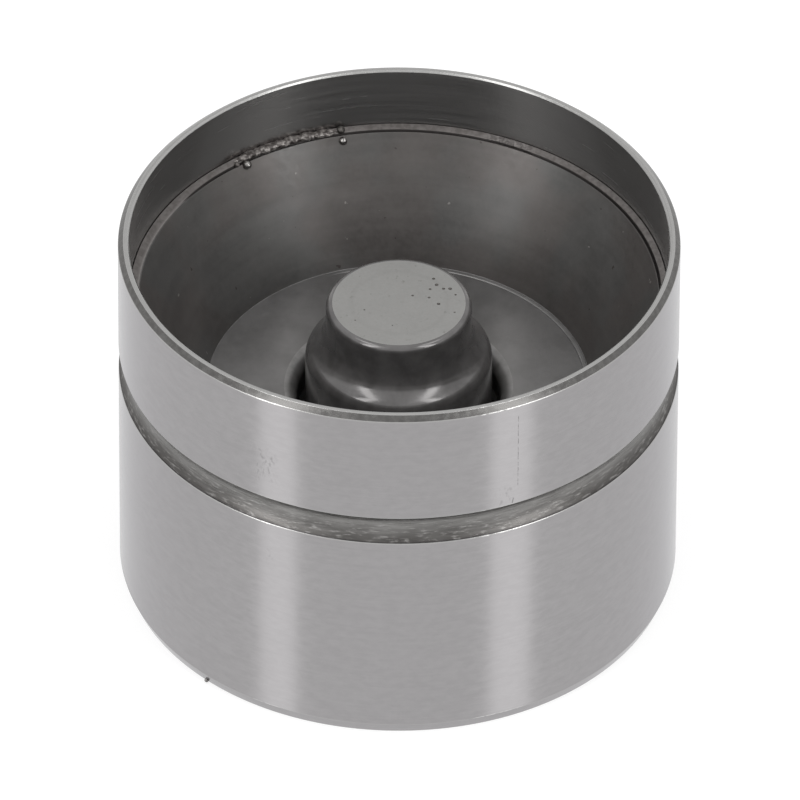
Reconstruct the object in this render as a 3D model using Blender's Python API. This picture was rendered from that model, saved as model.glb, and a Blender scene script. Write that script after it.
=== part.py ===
"""Hydraulic bucket tappet of an overhead camshaft engine, standing on its cam face.

Frame: the origin is the centre of the cam face and +Z runs up the axis to the open end.
Every round piece is turned from an outline of (radius, height) points in metres.
"""

import math

import bmesh
import bpy
from mathutils import Matrix, Vector

MM = 0.001

# Bucket: crown with the cam face, skirt, oil groove and feed hole
OUTER_DIAMETER = 35.0 * MM
HEIGHT = 25.5 * MM
CROWN_THICKNESS = 3.0 * MM
CROWN_CORNER_RADIUS = 1.0 * MM
SKIRT_WALL = 1.3 * MM
RIM_WALL = 0.7 * MM
RIM_OUTER_CHAMFER = 0.22 * MM
RIM_INNER_CHAMFER = 0.14 * MM
LEAD_CHAMFER_WIDTH = 0.31 * MM
LEAD_CHAMFER_HEIGHT = 0.76 * MM
OIL_GROOVE_CENTRE = 16.44 * MM
OIL_GROOVE_WIDTH = 2.05 * MM
OIL_GROOVE_DEPTH = 0.45 * MM
FEED_HOLE_DIAMETER = 1.6 * MM
OVERFLOW_SLOT_START = 2.2 * MM
OVERFLOW_SLOT_LENGTH = 4.6 * MM
OVERFLOW_SLOT_WIDTH = 2.0 * MM
OVERFLOW_SLOT_DEPTH = 0.6 * MM

# Guide cup: one drawn sheet with a rim land, a cone, a flat floor and a guide sleeve
CUP_SHEET = 1.0 * MM
LEDGE_DEPTH = 4.2 * MM
LEDGE_WIDTH = 0.55 * MM
LEDGE_FALL = 0.2 * MM
FLOOR_HEIGHT = 13.7 * MM
FLOOR_DIAMETER = 24.0 * MM
FLOOR_CORNER_RADIUS = 0.5 * MM
MOUTH_BEND_RADIUS = 1.1 * MM
MOUTH_GAP = 0.52 * MM
MOUTH_RELIEF_DEPTH = 1.2 * MM
SLEEVE_WALL = 1.1 * MM
SLEEVE_CORNER_RADIUS = 0.4 * MM

# Plunger: outer cylinder whose closed end is the nose that meets the valve stem
PLUNGER_DIAMETER = 11.68 * MM
NOSE_HEIGHT = 20.4 * MM
NOSE_LENGTH = 3.5 * MM
NOSE_SOLID = 4.4 * MM
NOSE_EDGE_RADIUS = 0.5 * MM
NECK_DIAMETER = 9.32 * MM
NECK_FILLET_RADIUS = 0.74 * MM
SHOULDER_RADIUS = 0.43 * MM
BORE_CORNER_RADIUS = 0.5 * MM
PLUNGER_END_LAND = 0.4 * MM
EDGE_CHAMFER = 0.15 * MM
STROKE = 2.5 * MM
STROKE_CLEARANCE = 0.3 * MM

# Retaining ring: round wire snapped into a groove at the plunger's inner end
RING_WIRE = 0.8 * MM
RING_GROOVE_DEPTH = 0.4 * MM
RING_OPENING_DEG = 24.0

# Inner piston: oil reservoir inside, valve seat at its head
PISTON_DIAMETER = 8.56 * MM
PISTON_WALL = 1.1 * MM
PISTON_HEAD = 1.5 * MM
VALVE_HOLE_DIAMETER = 2.0 * MM
VALVE_SEAT_WIDTH = 0.5 * MM

# Check valve: ball, cage and the two springs
BALL_DIAMETER = 3.175 * MM
BALL_SIDE_CLEARANCE = 0.2 * MM
BALL_SPRING_LENGTH = 1.1 * MM
BALL_SPRING_DIAMETER = 1.6 * MM
BALL_SPRING_WIRE = 0.2 * MM
BALL_SPRING_TURNS = 3.5
CAGE_SHEET = 0.3 * MM
CAGE_FLANGE_MARGIN = 0.1 * MM
CAGE_HOLE_DIAMETER = 1.0 * MM
CAGE_WINDOW_WIDTH = 1.3 * MM
CAGE_WINDOW_HEIGHT = 1.5 * MM
CAGE_WINDOW_SILL = 0.3 * MM
CAGE_WINDOW_PAIRS = 2
RETURN_SPRING_WIRE = 0.6 * MM
RETURN_SPRING_TURNS = 5.0

# Clearances: radial for what slides, all round for what rests or is pressed in
RUNNING_CLEARANCE = 0.03 * MM
SEAT_GAP = 0.05 * MM
CUT_MARGIN = 1.0 * MM

# Fineness of the faceted surfaces
BUCKET_SEGMENTS = 64
PLUNGER_SEGMENTS = 40
PISTON_SEGMENTS = 32
CAGE_SEGMENTS = 24
HOLE_SEGMENTS = 16
FILLET_STEPS = 3
BEND_STEPS = 4
GROOVE_STEPS = 6
BALL_SEGMENTS = 20
BALL_RINGS = 12
WIRE_SIDES = 8
COIL_STEPS_PER_TURN = 20
RING_POINTS = 36
RING_BEVEL_RESOLUTION = 1
WELD_DISTANCE = 1e-7
SHARP_ANGLE = math.radians(30.0)

# Spring ends: wound closed, then ground flat
CLOSED_PITCH_IN_WIRES = 1.08
GROUND_START_IN_WIRES = 0.25

# Radii that follow from the sizes
outer_r = OUTER_DIAMETER / 2
rim_bore_r = outer_r - RIM_WALL
reservoir_r = outer_r - SKIRT_WALL
land_r = rim_bore_r - SEAT_GAP
ledge_inner_r = land_r - LEDGE_WIDTH
floor_edge_r = FLOOR_DIAMETER / 2
plunger_r = PLUNGER_DIAMETER / 2
neck_r = NECK_DIAMETER / 2
guide_bore_r = plunger_r + RUNNING_CLEARANCE
mouth_r = plunger_r + MOUTH_GAP
sleeve_r = guide_bore_r + SLEEVE_WALL
ring_groove_r = plunger_r - RING_GROOVE_DEPTH
ring_centre_r = ring_groove_r + SEAT_GAP + RING_WIRE / 2
piston_r = PISTON_DIAMETER / 2
plunger_bore_r = piston_r + RUNNING_CLEARANCE
ball_r = BALL_DIAMETER / 2
valve_hole_r = VALVE_HOLE_DIAMETER / 2
valve_seat_r = valve_hole_r + VALVE_SEAT_WIDTH
cage_inner_r = ball_r + BALL_SIDE_CLEARANCE
cage_outer_r = cage_inner_r + CAGE_SHEET
return_spring_r = (cage_outer_r + plunger_bore_r) / 2
cage_flange_r = return_spring_r + RETURN_SPRING_WIRE / 2 + CAGE_FLANGE_MARGIN
ball_spring_r = BALL_SPRING_DIAMETER / 2 - BALL_SPRING_WIRE / 2

# Heights of the guide cup, whose floor keeps its height over the cam face if the skirt is longer
ledge_z = HEIGHT - LEDGE_DEPTH
ledge_inner_z = ledge_z - LEDGE_FALL
floor_z = FLOOR_HEIGHT
cone_slope = math.atan2(ledge_inner_z - floor_z, ledge_inner_r - floor_edge_r)

# Heights of the plunger and its ring, which hangs on the sleeve's lower end
nose_z = NOSE_HEIGHT
shoulder_z = nose_z - NOSE_LENGTH
bore_end_z = nose_z - NOSE_SOLID
plunger_end_z = CROWN_THICKNESS + STROKE_CLEARANCE + STROKE
ring_groove_low_z = plunger_end_z + PLUNGER_END_LAND
ring_groove_high_z = ring_groove_low_z + RING_WIRE + 2 * SEAT_GAP
ring_z = ring_groove_low_z + SEAT_GAP + RING_WIRE / 2
sleeve_end_z = ring_z + RING_WIRE / 2 + SEAT_GAP

# Heights inside the check valve, counted from the piston's head
ball_over_head = (ball_r + SEAT_GAP) / math.sin(math.radians(45.0)) - valve_seat_r
ball_spring_reach = ball_r + SEAT_GAP + BALL_SPRING_WIRE / 2
spring_over_ball = math.sqrt(ball_spring_reach**2 - ball_spring_r**2) - BALL_SPRING_WIRE / 2
cage_height = ball_over_head + spring_over_ball + BALL_SPRING_LENGTH + SEAT_GAP + CAGE_SHEET
head_z = bore_end_z - STROKE_CLEARANCE - STROKE - cage_height
piston_foot_z = CROWN_THICKNESS + SEAT_GAP
ball_z = head_z + ball_over_head
cage_foot_z = head_z + SEAT_GAP
cage_top_z = head_z + cage_height


def steel(name, colour, roughness):
    """A metal in the given colour and roughness."""
    material = bpy.data.materials.new(name)
    material.use_nodes = True
    shader = material.node_tree.nodes["Principled BSDF"]
    shader.inputs["Base Color"].default_value = (*colour, 1.0)
    shader.inputs["Metallic"].default_value = 1.0
    shader.inputs["Roughness"].default_value = roughness
    material.diffuse_color = (*colour, 1.0)
    return material


def arc(centre, radius, start_deg, end_deg, steps):
    """Points of an outline's round stretch, from one angle to the other."""
    points = []
    for step in range(steps + 1):
        angle = math.radians(start_deg + (end_deg - start_deg) * step / steps)
        points.append((centre[0] + radius * math.cos(angle), centre[1] + radius * math.sin(angle)))
    return points


def add_object(name, mesh, material):
    """Put a mesh into the scene under a name, with one material."""
    piece = bpy.data.objects.new(name, mesh)
    piece.data.materials.append(material)
    bpy.context.collection.objects.link(piece)
    return piece


def mesh_from(name, bm):
    """Turn a bmesh into a mesh whose faces point out and whose edges stay crisp."""
    bmesh.ops.remove_doubles(bm, verts=bm.verts, dist=WELD_DISTANCE)
    bmesh.ops.recalc_face_normals(bm, faces=bm.faces)
    mesh = bpy.data.meshes.new(name)
    bm.to_mesh(mesh)
    bm.free()
    mesh.shade_smooth()
    mesh.set_sharp_from_angle(angle=SHARP_ANGLE)
    return mesh


def turned(name, outline, material, segments, closed):
    """Spin an outline round the axis; an open outline starts and ends on the axis."""
    bm = bmesh.new()
    corners = [bm.verts.new((radius, 0.0, height)) for radius, height in outline]
    following = corners[1:] + corners[:1] if closed else corners[1:]
    sides = [bm.edges.new(pair) for pair in zip(corners, following)]
    bmesh.ops.spin(
        bm,
        geom=corners + sides,
        cent=(0.0, 0.0, 0.0),
        axis=(0.0, 0.0, 1.0),
        angle=math.tau,
        steps=segments,
        use_merge=True,
    )
    return add_object(name, mesh_from(name, bm), material)


def cut(piece, cutter):
    """Take a cutter's shape out of a piece and keep the cutter out of the model."""
    cutter.hide_render = True
    cutter.display_type = "WIRE"
    boolean = piece.modifiers.new("cut_" + cutter.name, "BOOLEAN")
    boolean.operation = "DIFFERENCE"
    boolean.solver = "EXACT"
    boolean.object = cutter


def rod_cutter(name, radius, start, end, material):
    """A cylinder between two points."""
    start = Vector(start)
    along = Vector(end) - start
    bm = bmesh.new()
    bmesh.ops.create_cone(
        bm,
        cap_ends=True,
        segments=HOLE_SEGMENTS,
        radius1=radius,
        radius2=radius,
        depth=along.length,
        matrix=Matrix.Translation(start + along / 2) @ along.to_track_quat("Z", "Y").to_matrix().to_4x4(),
    )
    return add_object(name, mesh_from(name, bm), material)


def prism_cutter(name, outline, bottom_z, top_z, material):
    """A plan outline of (x, y) points raised from one height to another."""
    bm = bmesh.new()
    floor = bm.faces.new([bm.verts.new((x, y, bottom_z)) for x, y in outline])
    raised = bmesh.ops.extrude_face_region(bm, geom=[floor])
    corners = [item for item in raised["geom"] if isinstance(item, bmesh.types.BMVert)]
    bmesh.ops.translate(bm, verts=corners, vec=(0.0, 0.0, top_z - bottom_z))
    return add_object(name, mesh_from(name, bm), material)


def cone_line(offset, radius):
    """Height at a radius on the dish's cone, moved outwards from its upper face by an offset."""
    start_r = floor_edge_r + offset * math.sin(cone_slope)
    start_z = floor_z - offset * math.cos(cone_slope)
    return start_z + (radius - start_r) * math.tan(cone_slope)


def bucket_body(material):
    """Crown and skirt in one piece, with the seat that the guide cup is pressed onto."""
    seat_offset = CUP_SHEET + SEAT_GAP
    half_width = OIL_GROOVE_WIDTH / 2
    groove_radius = (half_width**2 + OIL_GROOVE_DEPTH**2) / (2 * OIL_GROOVE_DEPTH)
    groove_centre = (outer_r - OIL_GROOVE_DEPTH + groove_radius, OIL_GROOVE_CENTRE)
    groove_reach = math.degrees(math.asin(half_width / groove_radius))
    outline = [(0.0, CROWN_THICKNESS)]
    corner = (reservoir_r - CROWN_CORNER_RADIUS, CROWN_THICKNESS + CROWN_CORNER_RADIUS)
    outline += arc(corner, CROWN_CORNER_RADIUS, -90.0, 0.0, FILLET_STEPS)
    outline += [
        (reservoir_r, cone_line(seat_offset, reservoir_r)),
        (rim_bore_r, cone_line(seat_offset, rim_bore_r)),
        (rim_bore_r, HEIGHT - RIM_INNER_CHAMFER),
        (rim_bore_r + RIM_INNER_CHAMFER, HEIGHT),
        (outer_r - RIM_OUTER_CHAMFER, HEIGHT),
        (outer_r, HEIGHT - RIM_OUTER_CHAMFER),
    ]
    outline += arc(groove_centre, groove_radius, 180.0 - groove_reach, 180.0 + groove_reach, GROOVE_STEPS)
    outline += [
        (outer_r, LEAD_CHAMFER_HEIGHT),
        (outer_r - LEAD_CHAMFER_WIDTH, 0.0),
        (0.0, 0.0),
    ]
    body = turned("bucket_body", outline, material, BUCKET_SEGMENTS, closed=False)

    hole_start = (0.0, reservoir_r - CUT_MARGIN, OIL_GROOVE_CENTRE)
    hole_end = (0.0, outer_r + CUT_MARGIN, OIL_GROOVE_CENTRE)
    cut(body, rod_cutter("feed_hole", FEED_HOLE_DIAMETER / 2, hole_start, hole_end, material))

    end_r = OVERFLOW_SLOT_WIDTH / 2
    slot = arc((0.0, OVERFLOW_SLOT_START + end_r), end_r, 180.0, 360.0, FILLET_STEPS)
    far_centre = (0.0, OVERFLOW_SLOT_START + OVERFLOW_SLOT_LENGTH - end_r)
    slot += arc(far_centre, end_r, 0.0, 180.0, FILLET_STEPS)
    slot_floor = CROWN_THICKNESS - OVERFLOW_SLOT_DEPTH
    slot_top = CROWN_THICKNESS + CUT_MARGIN
    cut(body, prism_cutter("overflow_slot", slot, slot_floor, slot_top, material))
    return body


def guide_cup(material):
    """Drawn dish that closes the oil reservoir, with the sleeve that guides the plunger."""
    slope_deg = math.degrees(cone_slope)
    corner_r = floor_edge_r - FLOOR_CORNER_RADIUS * math.tan(cone_slope / 2)
    floor_corner = (corner_r, floor_z + FLOOR_CORNER_RADIUS)
    mouth_bend = (mouth_r + MOUTH_BEND_RADIUS, floor_z - MOUTH_BEND_RADIUS)
    relief_z = floor_z - MOUTH_BEND_RADIUS - MOUTH_RELIEF_DEPTH
    underside_z = floor_z - CUP_SHEET
    sleeve_corner = (sleeve_r + SLEEVE_CORNER_RADIUS, underside_z - SLEEVE_CORNER_RADIUS)

    outline = [(land_r, ledge_z), (ledge_inner_r, ledge_inner_z)]
    outline += arc(floor_corner, FLOOR_CORNER_RADIUS, slope_deg - 90.0, -90.0, FILLET_STEPS)
    outline += arc(mouth_bend, MOUTH_BEND_RADIUS, 90.0, 180.0, BEND_STEPS)
    outline += [
        (mouth_r, relief_z),
        (guide_bore_r, relief_z - (mouth_r - guide_bore_r)),
        (guide_bore_r, sleeve_end_z),
        (sleeve_r, sleeve_end_z),
    ]
    outline += arc(sleeve_corner, SLEEVE_CORNER_RADIUS, 180.0, 90.0, FILLET_STEPS)
    outline += arc(floor_corner, FLOOR_CORNER_RADIUS + CUP_SHEET, -90.0, slope_deg - 90.0, FILLET_STEPS)
    outline += [(land_r, cone_line(CUP_SHEET, land_r))]
    return turned("guide_cup", outline, material, BUCKET_SEGMENTS, closed=True)


def plunger_cylinder(material):
    """Closed cylinder that slides in the sleeve; its nose pushes on the valve stem."""
    shoulder_room = plunger_r - neck_r
    share = min(1.0, shoulder_room / (SHOULDER_RADIUS + NECK_FILLET_RADIUS))
    shoulder = SHOULDER_RADIUS * share
    fillet = NECK_FILLET_RADIUS * share

    outline = [(0.0, nose_z)]
    edge = (neck_r - NOSE_EDGE_RADIUS, nose_z - NOSE_EDGE_RADIUS)
    outline += arc(edge, NOSE_EDGE_RADIUS, 90.0, 0.0, FILLET_STEPS)
    outline += arc((neck_r + fillet, shoulder_z + fillet), fillet, 180.0, 270.0, FILLET_STEPS)
    outline += arc((plunger_r - shoulder, shoulder_z - shoulder), shoulder, 90.0, 0.0, BEND_STEPS)
    outline += [
        (plunger_r, ring_groove_high_z),
        (ring_groove_r, ring_groove_high_z),
        (ring_groove_r, ring_groove_low_z),
        (plunger_r, ring_groove_low_z),
        (plunger_r, plunger_end_z + EDGE_CHAMFER),
        (plunger_r - EDGE_CHAMFER, plunger_end_z),
        (plunger_bore_r + EDGE_CHAMFER, plunger_end_z),
        (plunger_bore_r, plunger_end_z + EDGE_CHAMFER),
    ]
    bore_corner = (plunger_bore_r - BORE_CORNER_RADIUS, bore_end_z - BORE_CORNER_RADIUS)
    outline += arc(bore_corner, BORE_CORNER_RADIUS, 0.0, 90.0, FILLET_STEPS)
    outline += [(0.0, bore_end_z)]
    return turned("plunger_cylinder", outline, material, PLUNGER_SEGMENTS, closed=False)


def retaining_ring(material):
    """Ring of round wire, open towards +Y, that stops the plunger at the sleeve's lower end."""
    curve = bpy.data.curves.new("retaining_ring", "CURVE")
    curve.dimensions = "3D"
    curve.bevel_depth = RING_WIRE / 2
    curve.bevel_resolution = RING_BEVEL_RESOLUTION
    curve.use_fill_caps = True
    spline = curve.splines.new("POLY")
    spline.points.add(RING_POINTS - 1)
    for index, point in enumerate(spline.points):
        turn_deg = RING_OPENING_DEG / 2 + (360.0 - RING_OPENING_DEG) * index / (RING_POINTS - 1)
        angle = math.radians(turn_deg)
        point.co = (ring_centre_r * math.sin(angle), ring_centre_r * math.cos(angle), ring_z, 1.0)
    return add_object("retaining_ring", curve, material)


def inner_piston(material):
    """Hollow piston that stands on the crown and carries the valve seat at its head."""
    piston_bore_r = piston_r - PISTON_WALL
    reservoir_end_z = head_z - PISTON_HEAD
    outline = [
        (valve_seat_r, head_z),
        (piston_r - EDGE_CHAMFER, head_z),
        (piston_r, head_z - EDGE_CHAMFER),
        (piston_r, piston_foot_z + EDGE_CHAMFER),
        (piston_r - EDGE_CHAMFER, piston_foot_z),
        (piston_bore_r, piston_foot_z),
        (piston_bore_r, reservoir_end_z),
        (valve_hole_r, reservoir_end_z),
        (valve_hole_r, head_z - VALVE_SEAT_WIDTH),
    ]
    return turned("inner_piston", outline, material, PISTON_SEGMENTS, closed=True)


def check_ball(material):
    """Ball of the one-way valve, with its origin at its centre."""
    bm = bmesh.new()
    bmesh.ops.create_uvsphere(bm, u_segments=BALL_SEGMENTS, v_segments=BALL_RINGS, radius=ball_r)
    ball = add_object("check_ball", mesh_from("check_ball", bm), material)
    ball.location = (0.0, 0.0, ball_z)
    return ball


def ball_cage(material):
    """Flanged cap of thin sheet over the ball, with windows that let the oil through."""
    outline = [
        (cage_flange_r, cage_foot_z),
        (cage_flange_r, cage_foot_z + CAGE_SHEET),
        (cage_outer_r, cage_foot_z + CAGE_SHEET),
        (cage_outer_r, cage_top_z - CAGE_SHEET),
        (cage_inner_r, cage_top_z),
        (CAGE_HOLE_DIAMETER / 2, cage_top_z),
        (CAGE_HOLE_DIAMETER / 2, cage_top_z - CAGE_SHEET),
        (cage_inner_r, cage_top_z - CAGE_SHEET),
        (cage_inner_r, cage_foot_z),
    ]
    cage = turned("ball_cage", outline, material, CAGE_SEGMENTS, closed=True)

    reach = cage_flange_r
    half = CAGE_WINDOW_WIDTH / 2
    sill_z = cage_foot_z + CAGE_SHEET + CAGE_WINDOW_SILL
    for pair in range(CAGE_WINDOW_PAIRS):
        turn = Matrix.Rotation(math.pi * pair / CAGE_WINDOW_PAIRS, 2)
        corners = [(reach, half), (-reach, half), (-reach, -half), (reach, -half)]
        outline = [turn @ Vector(corner) for corner in corners]
        name = f"cage_window_{pair + 1}"
        cut(cage, prism_cutter(name, outline, sill_z, sill_z + CAGE_WINDOW_HEIGHT, material))
    return cage


def coil_spring(name, wire, mean_r, bottom_z, top_z, turns, material):
    """Compression spring whose end turns are closed and ground flat."""
    closed_rise = wire * CLOSED_PITCH_IN_WIRES
    start_z = bottom_z + wire * GROUND_START_IN_WIRES
    total_rise = top_z - bottom_z - 2 * wire * GROUND_START_IN_WIRES
    open_pitch = (total_rise - 2 * closed_rise) / (turns - 2)
    steps = round(turns * COIL_STEPS_PER_TURN)

    bm = bmesh.new()
    rings = []
    for step in range(steps + 1):
        turn = turns * step / steps
        open_turns = min(max(turn - 1.0, 0.0), turns - 2)
        height = start_z + closed_rise * (turn - open_turns) + open_pitch * open_turns
        angle = math.tau * turn
        ring = []
        for side in range(WIRE_SIDES):
            around = math.tau * (side + 0.5) / WIRE_SIDES
            radius = mean_r + wire / 2 * math.cos(around)
            ground_z = min(max(height + wire / 2 * math.sin(around), bottom_z), top_z)
            ring.append(bm.verts.new((radius * math.cos(angle), radius * math.sin(angle), ground_z)))
        rings.append(ring)
    for lower, upper in zip(rings, rings[1:]):
        for side in range(WIRE_SIDES):
            beside = (side + 1) % WIRE_SIDES
            bm.faces.new((lower[side], lower[beside], upper[beside], upper[side]))
    bm.faces.new(rings[0])
    bm.faces.new(rings[-1])
    return add_object(name, mesh_from(name, bm), material)


def ball_spring(material):
    """Light spring that holds the ball on its seat."""
    bottom_z = ball_z + spring_over_ball
    return coil_spring(
        "ball_spring",
        BALL_SPRING_WIRE,
        ball_spring_r,
        bottom_z,
        bottom_z + BALL_SPRING_LENGTH,
        BALL_SPRING_TURNS,
        material,
    )


def return_spring(material):
    """Spring round the cage that pushes the plunger out until its ring meets the sleeve."""
    return coil_spring(
        "return_spring",
        RETURN_SPRING_WIRE,
        return_spring_r,
        cage_foot_z + CAGE_SHEET + SEAT_GAP,
        bore_end_z - SEAT_GAP,
        RETURN_SPRING_TURNS,
        material,
    )


def build():
    """Clear the scene and make every piece of the tappet."""
    for leftover in list(bpy.data.objects):
        bpy.data.objects.remove(leftover, do_unlink=True)

    ground_steel = steel("ground_steel", (0.56, 0.56, 0.57), 0.28)
    drawn_steel = steel("drawn_steel", (0.33, 0.33, 0.34), 0.42)
    dark_steel = steel("dark_steel", (0.24, 0.24, 0.25), 0.3)
    ball_steel = steel("ball_steel", (0.75, 0.75, 0.76), 0.08)
    spring_steel = steel("spring_steel", (0.42, 0.42, 0.43), 0.3)
    cage_steel = steel("cage_steel", (0.5, 0.49, 0.46), 0.35)

    bucket_body(ground_steel)
    guide_cup(drawn_steel)
    plunger_cylinder(dark_steel)
    retaining_ring(spring_steel)
    inner_piston(ground_steel)
    check_ball(ball_steel)
    ball_spring(spring_steel)
    ball_cage(cage_steel)
    return_spring(spring_steel)


build()
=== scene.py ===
"""Looks of the hydraulic bucket valve lifter: fine shapes, finish of every surface, studio and camera.

Lengths are in metres, written as millimetres times MM. An azimuth of 0 is the side that faces the
camera (-Y), and it grows towards +X. Material patterns work on coordinates in millimetres.
"""

import math

import bmesh
import bpy
from mathutils import Matrix, Vector, noise


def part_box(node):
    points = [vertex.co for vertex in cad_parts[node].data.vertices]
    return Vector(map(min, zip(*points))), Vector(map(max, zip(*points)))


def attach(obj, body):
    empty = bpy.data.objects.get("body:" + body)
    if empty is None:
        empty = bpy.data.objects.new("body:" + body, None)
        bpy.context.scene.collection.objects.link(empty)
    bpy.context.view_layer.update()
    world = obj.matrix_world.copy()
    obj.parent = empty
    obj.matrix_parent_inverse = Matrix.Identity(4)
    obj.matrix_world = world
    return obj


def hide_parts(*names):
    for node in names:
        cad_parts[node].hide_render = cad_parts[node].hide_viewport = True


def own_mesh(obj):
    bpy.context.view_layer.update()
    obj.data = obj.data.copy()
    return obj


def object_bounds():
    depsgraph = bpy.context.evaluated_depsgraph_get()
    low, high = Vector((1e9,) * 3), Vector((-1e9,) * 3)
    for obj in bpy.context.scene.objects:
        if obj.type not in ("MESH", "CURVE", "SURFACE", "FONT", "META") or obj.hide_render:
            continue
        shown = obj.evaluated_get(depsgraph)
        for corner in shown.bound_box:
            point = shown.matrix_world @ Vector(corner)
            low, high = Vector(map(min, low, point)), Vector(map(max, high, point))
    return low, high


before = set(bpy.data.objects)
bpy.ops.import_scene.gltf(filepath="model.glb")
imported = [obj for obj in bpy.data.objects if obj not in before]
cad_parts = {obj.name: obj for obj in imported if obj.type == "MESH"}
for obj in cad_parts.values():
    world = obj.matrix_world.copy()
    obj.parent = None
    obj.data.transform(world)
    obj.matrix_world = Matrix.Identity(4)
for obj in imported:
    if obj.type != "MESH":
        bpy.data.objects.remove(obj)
cad_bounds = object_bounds()

MM = 0.001
PER_MM = 1000.0

# Sizes read from the frame
cup_low, cup_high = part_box("guide_cup")
plunger_low, plunger_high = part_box("plunger_cylinder")
ring_low, ring_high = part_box("retaining_ring")
piston_low, piston_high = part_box("inner_piston")
ball_low, ball_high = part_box("check_ball")
cage_low, cage_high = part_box("ball_cage")
coil_low, coil_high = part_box("return_spring")
ball_coil_low, ball_coil_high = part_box("ball_spring")
outer_r = cad_bounds[1].x
rim_z = cad_bounds[1].z
land_r = cup_high.x
ledge_z = cup_high.z
sleeve_end_z = cup_low.z
plunger_r = plunger_high.x
nose_z = plunger_high.z
plunger_end_z = plunger_low.z

# Bucket
CROWN_THICKNESS = 3.0 * MM
CROWN_CORNER_RADIUS = 1.0 * MM
SKIRT_WALL = 1.3 * MM
RIM_WALL = 0.7 * MM
RIM_OUTER_CHAMFER = 0.34 * MM
RIM_INNER_CHAMFER = 0.1 * MM
LEAD_CHAMFER_WIDTH = 0.31 * MM
LEAD_CHAMFER_HEIGHT = 0.76 * MM
OIL_GROOVE_CENTRE = 16.44 * MM
OIL_GROOVE_WIDTH = 2.05 * MM
OIL_GROOVE_DEPTH = 0.45 * MM
OIL_GROOVE_STEPS = 20
FEED_HOLE_DIAMETER = 1.6 * MM
SLOT_START = 2.2 * MM
SLOT_LENGTH = 4.6 * MM
SLOT_WIDTH = 2.0 * MM
SLOT_DEPTH = 0.6 * MM
EDGE_BREAK = 0.05 * MM
BRIGHT_EDGE = 0.1 * MM

# Guide cup
CUP_SHEET = 1.0 * MM
SEAT_GAP = 0.05 * MM
LEDGE_WIDTH = 0.55 * MM
LEDGE_FALL = 0.2 * MM
LEDGE_EDGE_RADIUS = 0.04 * MM
SEAM_WIDTH = 0.2 * MM
SEAM_DEPTH = 0.15 * MM
SEAM_EDGE_RISE = SEAM_WIDTH / 3
FINE_GROOVE_RADIUS = 0.02 * MM
SEAM_START_DEG = 84.0
SEAM_END_DEG = 239.0
FADE_DEG = 14.0
FLOOR_HEIGHT = 13.7 * MM
FLOOR_DIAMETER = 24.0 * MM
FLOOR_RING_WIDTH = 0.24 * MM
FLOOR_RING_GROOVE = 0.1 * MM
FLOOR_RING_DEPTH = 0.04 * MM
FLOOR_BEAD_WIDTH = 0.05 * MM
FLOOR_BEAD_HEIGHT = 0.02 * MM
FLOOR_EDGE_RADIUS = 0.03 * MM
FLOOR_RING_START_DEG = 96.0
FLOOR_RING_END_DEG = 205.0
MOUTH_BEND_RADIUS = 0.8 * MM
MOUTH_GAP = 0.52 * MM
MOUTH_LIP = 0.1 * MM
MOUTH_RELIEF_DEPTH = 1.5 * MM
RUNNING_CLEARANCE = 0.03 * MM
SLEEVE_WALL = 1.1 * MM
SLEEVE_CORNER_RADIUS = 0.4 * MM
FLOOR_CORNER_RADIUS = 0.5 * MM

# Plunger
NOSE_LENGTH = 3.8 * MM
NOSE_SOLID = 4.4 * MM
NOSE_EDGE_RADIUS = 0.4 * MM
NECK_DIAMETER = 9.12 * MM
NECK_LENGTH = 2.95 * MM
NECK_FILLET_RADIUS = 1.9 * MM
SHOULDER_RADIUS = 0.9 * MM
BORE_CORNER_RADIUS = 0.5 * MM
END_LAND = 0.4 * MM
END_CHAMFER = 0.15 * MM
RING_GROOVE_DEPTH = 0.4 * MM
RING_WIRE = 0.8 * MM
RING_OPENING_DEG = 24.0

# Inner valve
PISTON_WALL = 1.1 * MM
PISTON_HEAD = 1.5 * MM
VALVE_HOLE_DIAMETER = 2.0 * MM
VALVE_SEAT_WIDTH = 0.5 * MM
CAGE_SHEET = 0.3 * MM
CAGE_HOLE_DIAMETER = 1.0 * MM
CAGE_SIDE_CLEARANCE = 0.2 * MM
CAGE_WINDOW_WIDTH = 1.3 * MM
CAGE_WINDOW_HEIGHT = 1.5 * MM
CAGE_WINDOW_SILL = 0.3 * MM
RETURN_SPRING_WIRE = 0.6 * MM
RETURN_SPRING_TURNS = 5.0
BALL_SPRING_WIRE = 0.2 * MM
BALL_SPRING_DIAMETER = 1.6 * MM
BALL_SPRING_TURNS = 3.5
CLOSED_PITCH_IN_WIRES = 1.08
GROUND_START_IN_WIRES = 0.25

# Weld that holds the cup at the back left, with its spatter
WELD_START_DEG = -167.0
WELD_END_DEG = -141.0
WELD_HALF_WIDTH = 0.27 * MM
WELD_HALF_HEIGHT = 0.2 * MM
WELD_INSET_IN_HALF_WIDTHS = 0.75
WELD_SINK_IN_HALF_HEIGHTS = 0.3
WELD_BITE = 0.1 * MM
WELD_TAPER = 8.0
WELD_END_SHARE = 0.15
WELD_LUMP = 0.5
WELD_LUMPS_PER_MM = 1.6
WELD_LUMP_FRACTAL = (1.0, 2.2, 4)
WELD_GRAIN = 0.5
WELD_GRAINS_PER_MM = 5.0
WELD_NOISE_LIFT_MM = 0.3
DROPLET_SWELL = 0.12
DROPLET_SWELLS_PER_MM = 3.0
DROPLET_VARIETY = 7.0

# Fineness of the meshes
TURNED_SEGMENTS = 384
INNER_SEGMENTS = 160
ARC_STEP_DEG = 9.0
FEWEST_ARC_STEPS = 3
ON_AXIS = 1e-9
HOLE_SEGMENTS = 48
WIRE_SIDES = 16
COIL_STEPS_PER_TURN = 64
WELD_STEPS = 220
WELD_SIDES = 28
DROPLET_SEGMENTS = 32
PIT_SEGMENTS = 16
SHARP_ANGLE = math.radians(35.0)

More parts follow.
